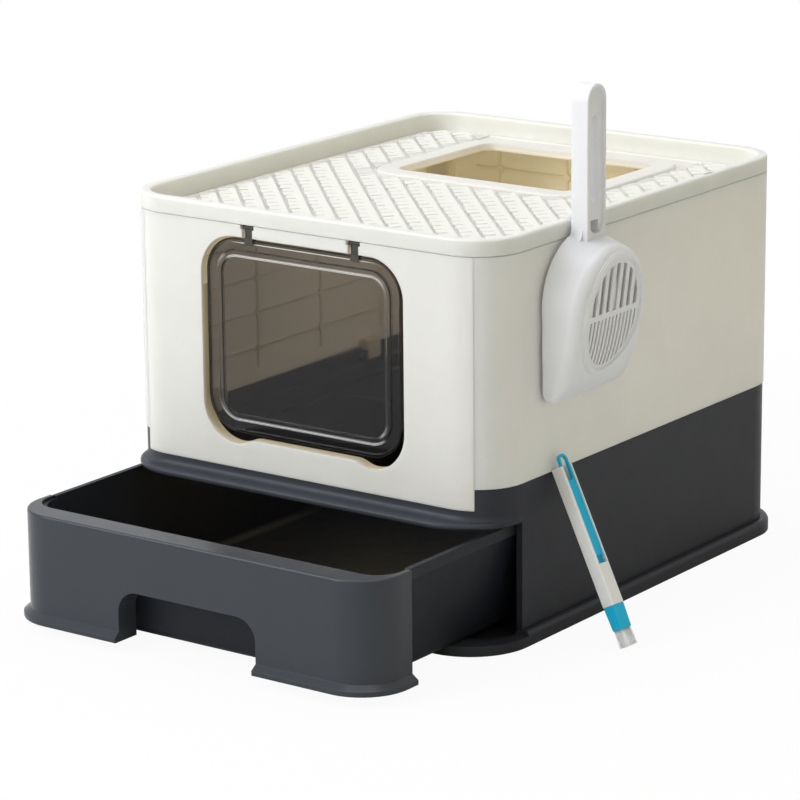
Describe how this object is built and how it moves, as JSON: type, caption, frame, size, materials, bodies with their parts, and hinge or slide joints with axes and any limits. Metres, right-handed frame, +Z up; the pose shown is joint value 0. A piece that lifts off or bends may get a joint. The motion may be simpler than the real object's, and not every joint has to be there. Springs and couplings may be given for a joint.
{
  "type": "litter box enclosure",
  "caption": "Enclosed cat litter box with a hinged front flap, a top entry, a pull-out litter drawer, a slotted scoop on a side hook and a small brush in a dustpan sleeve.",
  "frame": {"origin": "centre of the body's footprint on the floor", "axes": "+Z up, -Y out of the front where the flap and the drawer are, +X to the side with the scoop and the brush"},
  "size_m": [0.4936, 0.6583, 0.477],
  "materials": {
    "cream_plastic": "fine satin",
    "hinge_steel": "drawn wire",
    "smoked_pane": "glossy",
    "black_plastic": "satin",
    "grey_tub_plastic": "satin",
    "slate_plastic": "satin",
    "light_scoop_plastic": "satin",
    "white_plastic": "satin",
    "teal_plastic": "satin",
    "white_bristle": "fine filaments"
  },
  "bodies": {
    "enclosure": {"floor_plate": "slate_plastic", "base_housing": "slate_plastic", "front_panel": "cream_plastic", "back_panel": "cream_plastic", "left_panel": "cream_plastic", "right_panel": "cream_plastic", "front_hinge_pins": "hinge_steel", "back_hinge_pins": "hinge_steel", "left_hinge_pins": "hinge_steel", "right_hinge_pins": "hinge_steel"},
    "cover": {"top_cover": "cream_plastic"},
    "flap": {"flap_pane": "smoked_pane", "flap_hanger_left": "black_plastic", "flap_hanger_right": "black_plastic"},
    "drawer": {"drawer_tub": "grey_tub_plastic", "drawer_fascia": "slate_plastic"},
    "scoop": {"litter_scoop": "light_scoop_plastic"},
    "brush": {"brush_handle": "teal_plastic", "brush_ferrule": "teal_plastic", "brush_bristles": "white_bristle", "dustpan_sleeve": "white_plastic"}
  },
  "joints": [
    {"name": "flap_swing", "type": "hinge", "parent": "enclosure", "child": "flap", "pos_m": [0, -0.2355, 0.3428], "axis": [1, 0, 0], "range_deg": [-80, 60]},
    {"name": "drawer_slide", "type": "slide", "parent": "enclosure", "child": "drawer", "axis": [0, -1, 0], "range_m": [-0.155, 0.22]},
    {"name": "cover_lift", "type": "slide", "parent": "enclosure", "child": "cover", "axis": [0, 0, 1], "range_m": [0, 0.2]},
    {"name": "scoop_lift", "type": "slide", "parent": "cover", "child": "scoop", "axis": [0, 0, 1], "range_m": [0, 0.06]},
    {"name": "brush_pickup", "type": "slide", "parent": "enclosure", "child": "brush", "axis": [1, 0, 0], "range_m": [0, 0.2]}
  ]
}
